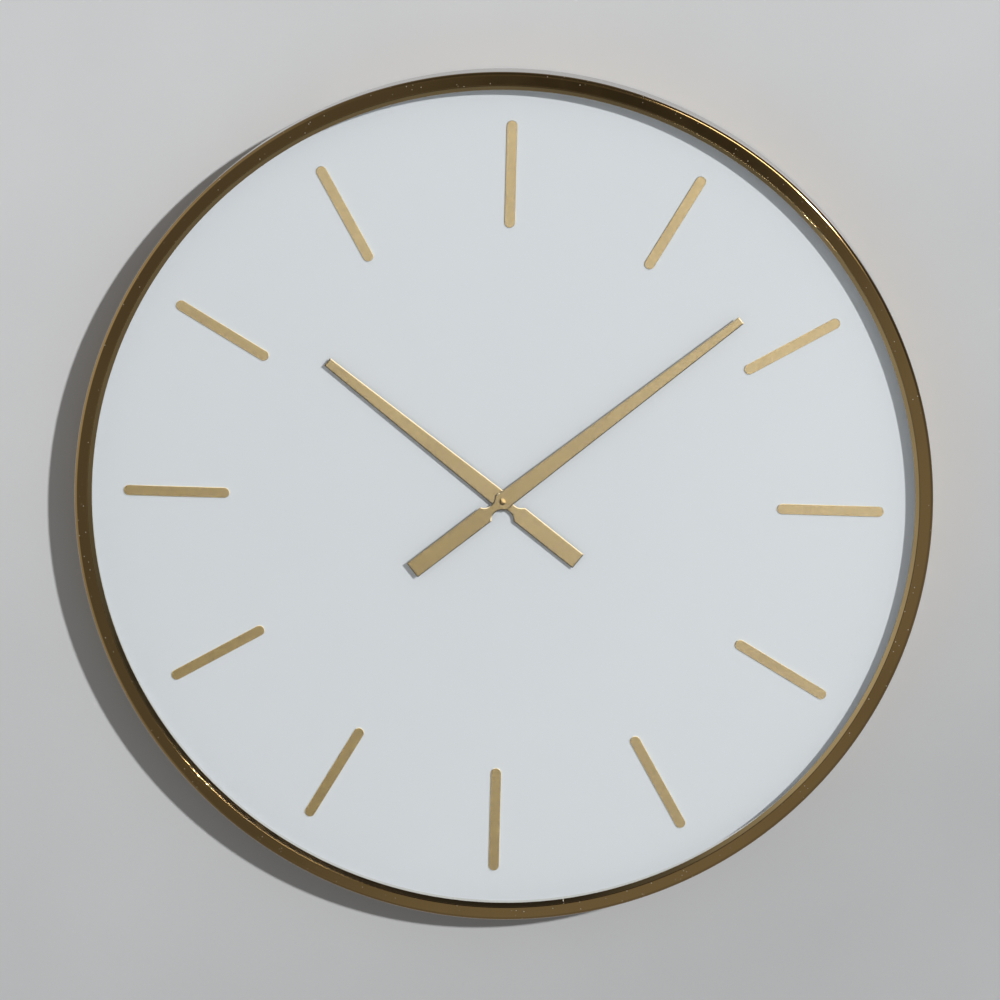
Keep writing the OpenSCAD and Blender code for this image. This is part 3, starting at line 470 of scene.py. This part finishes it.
def wound_copper():
    """Enamelled copper wire, laid turn by turn."""
    look = Look("wound_copper", (0.55, 0.21, 0.09), 0.3, 1.0)
    turns = look.bands("Z", 1500.0)
    look.set("Base Color", look.tint(turns, (0.36, 0.13, 0.05), (0.62, 0.25, 0.11)))
    look.set("Roughness", look.span(look.noise(200.0), 0.3, 0.7, 0.24, 0.36))
    look.bump(turns, 0.04)
    return look.material


def plaster():
    """The wall: pale grey, darker to the lower right as painted falloff of the light, and clear from behind so that
    the back can be seen.
    """
    look = Look("pale_plaster", (0.58, 0.58, 0.58), 0.9)
    place = look.split(look.coords)
    # Painted shade: the grey darkens towards the lower right as the light's falloff would
    level = look.calc("ADD", place["Z"], look.calc("MULTIPLY", place["X"], -0.7))
    grey = look.tint(look.span(level, -0.95, 0.25), (0.53, 0.537, 0.543), (0.71, 0.72, 0.728))
    clouds = look.span(look.noise(2.2, 5.0, 0.55), 0.3, 0.7)
    look.set("Base Color", look.tint_by(grey, look.tint(clouds, (0.95, 0.95, 0.95), (1.03, 1.03, 1.03))))
    look.bump(look.noise(90.0, 4.0), 0.08)
    look.swap(look.add("ShaderNodeNewGeometry").outputs["Backfacing"], "ShaderNodeBsdfTransparent")
    return look.material


SATIN = satin_gold()
CASE = antique_brass()
BEZEL = bezel_brass()
TURNED = metal("turned_brass", (0.72, 0.56, 0.29), (0.62, 0.46, 0.22), rough=0.26, rough_spread=0.06,
               cloud_scale=80.0, grain_scale=900.0, grain_depth=0.01).material
NUT = metal("nut_brass", (0.52, 0.37, 0.17), (0.43, 0.30, 0.13), rough=0.14, rough_spread=0.03,
            cloud_scale=60.0, grain_scale=900.0, grain_depth=0.002).material
STEEL = metal("core_steel", (0.56, 0.57, 0.58), (0.50, 0.50, 0.50), rough=0.34, rough_spread=0.06,
              cloud_scale=90.0, grain_scale=900.0, grain_depth=0.01).material
NICKEL = metal("contact_nickel", (0.70, 0.69, 0.66), (0.60, 0.59, 0.55), rough=0.22, rough_spread=0.06,
               cloud_scale=90.0, grain_scale=900.0, grain_depth=0.01).material
ZINC = zinc()
BLACK = moulded("black_housing", (0.030, 0.031, 0.034), rough=0.48)
WHITE = moulded("white_acetal", (0.80, 0.79, 0.74), rough=0.36, spark_scale=1200.0, spark_depth=0.008)
KNOB = moulded("grey_knob", (0.075, 0.077, 0.082), rough=0.42)
DIAL = painted("dial_white", (0.618, 0.652, 0.678), rough=0.5, grain_scale=1200.0, grain_depth=0.006,
               tone=0.006, cloud_scale=3.0)
CIRCUIT = painted("circuit_lacquer", (0.03, 0.15, 0.055), rough=0.3, grain_scale=700.0, grain_depth=0.01,
                  tone=0.1, cloud_scale=200.0)
CHIP = painted("chip_resin", (0.02, 0.02, 0.02), rough=0.25, grain_scale=300.0, grain_depth=0.03,
               tone=0.2, cloud_scale=300.0)
CELL = painted("cell_jacket", (0.16, 0.17, 0.185), rough=0.3, grain_scale=500.0, grain_depth=0.004,
               tone=0.05, cloud_scale=40.0)
FLOORING = painted("pale_floor", (0.76, 0.76, 0.75), rough=0.7, grain_scale=60.0, grain_depth=0.1,
                   tone=0.02, cloud_scale=1.0)

FINISHES = [
    (CASE, ["case_frame"]), (BEZEL, ["bezel_ring"]), (clear_glass(), ["glass_lens"]), (pale_metal(), ["spacer_ring"]),
    (DIAL, ["dial_plate"]), (SATIN, ["hour_hand", "minute_hand"] + [f"hour_bar_{i}" for i in range(1, 13)]),
    (NUT, ["cap_nut"]), (hardboard(), ["backing_board"]), (ZINC, ["board_lugs", "board_screws", "hanger_plate"]),
    (rubber(), ["wall_pads", "rubber_washer"]), (BLACK, ["movement_case", "movement_cover"]), (KNOB, ["setting_knob"]),
    (WHITE, ["middle_plate", "train_bridge", "hour_wheel", "minute_wheel", "setting_pinion", "third_wheel",
             "seconds_wheel", "intermediate_wheel", "rotor_pinion", "coil_bobbin"]),
    (STEEL, ["rotor_magnet", "stator", "coil_core"]), (wound_copper(), ["coil_winding"]),
    (CIRCUIT, ["circuit_board"]), (CHIP, ["chip_cap"]), (CELL, ["battery"]),
    (NICKEL, ["quartz_crystal", "positive_contact", "negative_contact"]),
    (TURNED, ["threaded_bush", "bush_washer", "bush_nut", "hour_collet", "minute_arbor", "centre_wheel"]),
]


def finish_with(obj, material):
    obj.data.materials.clear()
    obj.data.materials.append(material)


for finish, nodes in FINISHES:
    for node in nodes:
        finish_with(NODES[node], finish)


# Pieces with finer edges than the solids they replace

CASE_RADIUS, CASE_DEPTH = 381.0, 50.0
MOUTH_RADIUS = 369.2      # the face's inner edge
LIP_RADIUS = 371.0        # the rear lip's inner edge
SHEET = 2.0               # the case's sheet
CASE_PROFILE = fillet([
    (MOUTH_RADIUS, 0.0, 0.5),
    (CASE_RADIUS, 0.0, 3.2),
    (CASE_RADIUS, CASE_DEPTH, 0.8),
    (LIP_RADIUS, CASE_DEPTH, 0.4),
    (LIP_RADIUS, CASE_DEPTH - SHEET, 0.3),
    (CASE_RADIUS - SHEET, CASE_DEPTH - SHEET, 1.2),
    (CASE_RADIUS - SHEET, SHEET, 1.6),
    (MOUTH_RADIUS, SHEET, 0.3)], steps=12)

BEZEL_RADIUS = 365.2      # the snap ring's inner edge
BEZEL_CREST = 368.5       # where its chamfer meets its face
BEZEL_FACE = 368.8        # its face's outer edge, just inside the case's mouth
BEZEL_FOOT = 370.4        # its flange's outer edge, behind the case's face
BEZEL_EDGE = 2.3          # depth at which its chamfer starts
FLANGE_DEPTH, BEZEL_DEPTH = 2.05, 3.0
BEZEL_PROFILE = fillet([
    (BEZEL_RADIUS, BEZEL_DEPTH, 0.3),
    (BEZEL_RADIUS, BEZEL_EDGE, 0.4),
    (BEZEL_CREST, 0.0, 0.14),
    (BEZEL_FACE, 0.0, 0.3),
    (BEZEL_FACE, FLANGE_DEPTH, 0.05),
    (BEZEL_FOOT, FLANGE_DEPTH, 0.2),
    (BEZEL_FOOT, BEZEL_DEPTH, 0.2)], steps=6)
SPLIT_AT = 170.0          # degrees clockwise from twelve
SPLIT_WIDTH = 0.8
HALF_SPLIT = math.degrees(SPLIT_WIDTH / (BEZEL_RADIUS + BEZEL_FACE))

HAND_CHAMFER = 0.85, 0.5  # width and depth


def dress(obj, body, material, replaced):
    finish_with(obj, material)
    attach(obj, body)
    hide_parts(replaced)


dress(lathe("case_shell", CASE_PROFILE), "case", CASE, "case_frame")
dress(lathe("bezel_strip", BEZEL_PROFILE, SPLIT_AT + HALF_SPLIT, 360.0 - 2 * HALF_SPLIT),
      "case", BEZEL, "bezel_ring")
dress(chamfered("hour_hand", "hour_hand_blade", *HAND_CHAMFER), "hour", SATIN, "hour_hand")
dress(chamfered("minute_hand", "minute_hand_blade", *HAND_CHAMFER), "minute", SATIN, "minute_hand")
dress(softened("hanger_plate", "hanger_sheet", width=0.3), "case", ZINC, "hanger_plate")
dress(softened("setting_knob", "setting_disc", width=0.35), "setting", KNOB, "setting_knob")
dress(softened("movement_cover", "movement_lid", width=0.25), "case", BLACK, "movement_cover")


# Camera, from the photo's rings and bars

camera = in_scene("camera", bpy.data.cameras.new("camera"))
camera.data.sensor_width = 36.0
camera.data.lens = 155.05
camera.location = (0.09576, -3.81141, 0.28907)
camera.rotation_euler = (1.40587716, -0.02446922, 0.03009812)
SCENE.camera = camera


# Wall and floor

WALL_Y = 0.0037           # just behind the pads
FLOOR_Z = -1.75
HALF_WIDTH = 6.0
WALL_TOP = 4.0
FLOOR_FRONT, FLOOR_BACK = -3.4, 8.0


def stage_sheet(name, corners, material):
    sheet = add_mesh(name, corners, [(0, 1, 2, 3)])
    finish_with(sheet, material)
    return sheet


wall = stage_sheet("wall", [(-HALF_WIDTH, WALL_Y, FLOOR_Z), (HALF_WIDTH, WALL_Y, FLOOR_Z),
                            (HALF_WIDTH, WALL_Y, WALL_TOP), (-HALF_WIDTH, WALL_Y, WALL_TOP)], plaster())
floor = stage_sheet("floor", [(-HALF_WIDTH, FLOOR_FRONT, FLOOR_Z), (HALF_WIDTH, FLOOR_FRONT, FLOOR_Z),
                              (HALF_WIDTH, FLOOR_BACK, FLOOR_Z), (-HALF_WIDTH, FLOOR_BACK, FLOOR_Z)], FLOORING)

# Mirror rays pass both sheets and see the studio's levels below. Neither sheet throws light back,
# and the wall has no shadow, so the fill behind it shines through.
wall.visible_glossy = floor.visible_glossy = False
wall.visible_shadow = wall.visible_diffuse = floor.visible_diffuse = False


# Lamps

CENTRE = Vector((0.0, FRONT_Y, AXIS_Z))
KEY_WAY = Vector((0.557, -1.0, 0.386)).normalized()
KEY_DISTANCE = 9.0
FILL_PLACE = (1.2, 3.2, 1.0)


def disc_lamp(name, place, power, size):
    """A round lamp (W and m) that is aimed at the clock's centre."""
    lamp = in_scene(name, bpy.data.lights.new(name, "AREA"))
    lamp.data.energy = power
    lamp.data.shape = "DISK"
    lamp.data.size = size
    lamp.location = place
    lamp.rotation_euler = (CENTRE - Vector(place)).to_track_quat("-Z", "Y").to_euler()
    return lamp


disc_lamp("key", CENTRE + KEY_WAY * KEY_DISTANCE, power=570.0, size=0.34)
disc_lamp("back_fill", FILL_PLACE, power=95.0, size=1.6).visible_glossy = False


# The studio round the clock: one soft level for the matt surfaces, and for mirror rays a level by direction.
# A direction's Y is -1 towards the room in front and +1 into the wall.

AMBIENT = 0.25
AMBIENT_BEHIND_GLASS = 0.42
BACKDROP = 0.85           # what the camera sees past the wall, also through the glass

# Level all round the clock, by the angle from straight up, clockwise as the clock is read
ROOM = [(0, 0.08), (15, 0.10), (30, 0.07), (75, 0.07), (90, 0.18), (105, 0.26), (150, 0.27), (180, 0.27), (195, 0.22),
        (212, 0.22), (225, 0.38), (240, 0.52), (255, 0.60), (270, 0.70), (285, 0.80), (300, 0.72), (315, 0.46),
        (330, 0.22), (345, 0.10), (360, 0.08)]
FULL_TURN = 2 * math.pi

# Each band is where it begins and ends along a direction, and the level or share before and after it
BEHIND = (-0.15, 0.35, 0.0, 0.5)
BEHIND_LEVEL = 0.40
INTO_WALL = (0.80, 0.95, 0.0, 1.0)
INTO_WALL_LEVEL = 0.45
AHEAD = (-0.93, -0.80, 1.0, 0.0)
LOWER_RIGHT = (0.8, 0.0, -0.6)
AHEAD_LEVELS = (0.085, 0.125, 0.185, 0.36)
DARK_SPOT_WAY = (0.01, -0.9975, -0.07)    # what the case's face mirrors at twelve and one
DARK_SPOT = (0.9982, 0.9996, 0.0, 1.0)
DARK_SPOT_LEVEL = 0.06

# A softbox at the upper right, which gives the case's outer edge its highlight
SOFTBOX_TURN, SOFTBOX_HALF_TURN = math.radians(38.0), math.radians(18.0)
SOFTBOX_Y, SOFTBOX_HALF_Y = -0.74, 0.11
SOFTBOX = (0.4, 1.0, 1.0, 0.0)
SOFTBOX_LEVEL = 10.0

# What the bars and hands mirror behind the glass
UPPER_RIGHT = (0.643, 0.0, 0.766)
FACE_LEVELS = (-0.18, -0.045, 0.03, 1.68)
FAR_LEVELS = (-0.45, -0.32, 1.2, 0.0)
EDGE_LEVELS = (-0.05, 0.45, 0.12, 1.9)
TO_THE_SIDES = (-0.80, -0.66, 0.0, 1.0)
PAST_GLASS = (0.4, 0.6, 0.0, 1.0)         # by the clear surfaces that a ray has passed

world = bpy.data.worlds.new("studio")
SCENE.world = world
world.use_nodes = True
studio = Graph(world.node_tree)
output = studio.add("ShaderNodeOutputWorld")
background = studio.add("ShaderNodeBackground")
studio.feed(output.inputs[0], background.outputs[0])
ray = studio.add("ShaderNodeLightPath").outputs
direction = studio.add("ShaderNodeTexCoord").outputs["Generated"]
along = studio.split(direction)


def band(source, values):
    return studio.span(source, *values, easing="SMOOTHSTEP")


def towards(way):
    """How far the direction looks that way, from -1 to 1."""
    node = studio.add("ShaderNodeVectorMath")
    node.operation = "DOT_PRODUCT"
    studio.feed(node.inputs[0], direction)
    node.inputs[1].default_value = way
    return node.outputs["Value"]


def squared(value):
    return studio.calc("MULTIPLY", value, value)


def grey(value):
    return (value, value, value, 1.0)


turn = studio.calc("FLOORED_MODULO", studio.calc("ARCTAN2", along["X"], along["Z"]), FULL_TURN)
ramp = studio.add("ShaderNodeValToRGB")
ramp.color_ramp.interpolation = "EASE"
stops = ramp.color_ramp.elements
stops[0].color = grey(ROOM[0][1])
stops[1].color = grey(ROOM[-1][1])
for angle, value in ROOM[1:-1]:
    stops.new(angle / 360).color = grey(value)
studio.feed(ramp.inputs[0], studio.span(turn, 0.0, FULL_TURN))

side = studio.mix(band(along["Y"], BEHIND), ramp.outputs["Color"], BEHIND_LEVEL)
side = studio.mix(band(along["Y"], INTO_WALL), side, INTO_WALL_LEVEL)
front = band(towards(LOWER_RIGHT), AHEAD_LEVELS)
front = studio.mix(band(towards(DARK_SPOT_WAY), DARK_SPOT), front, DARK_SPOT_LEVEL)
mirrored = studio.mix(band(along["Y"], AHEAD), side, front)
across = studio.calc("DIVIDE", studio.calc("SUBTRACT", turn, SOFTBOX_TURN), SOFTBOX_HALF_TURN)
forward = studio.calc("DIVIDE", studio.calc("SUBTRACT", along["Y"], SOFTBOX_Y), SOFTBOX_HALF_Y)
mirrored = studio.mix(band(studio.calc("ADD", squared(across), squared(forward)), SOFTBOX), mirrored, SOFTBOX_LEVEL)

behind_glass = band(ray["Transparent Depth"], PAST_GLASS)
uphill = towards(UPPER_RIGHT)
faces = studio.calc("ADD", band(uphill, FACE_LEVELS), band(uphill, FAR_LEVELS))
inside = studio.mix(band(along["Y"], TO_THE_SIDES), faces, band(uphill, EDGE_LEVELS))
mirrored = studio.mix(behind_glass, mirrored, inside)

soft = studio.mix(behind_glass, AMBIENT, AMBIENT_BEHIND_GLASS)
level = studio.mix(ray["Is Glossy Ray"], soft, mirrored)
for seen in ("Is Transmission Ray", "Is Camera Ray"):
    level = studio.mix(ray[seen], level, BACKDROP)
studio.feed(background.inputs["Color"], (1.0, 1.0, 1.0))
studio.feed(background.inputs["Strength"], level)

SCENE.view_settings.view_transform = "Standard"
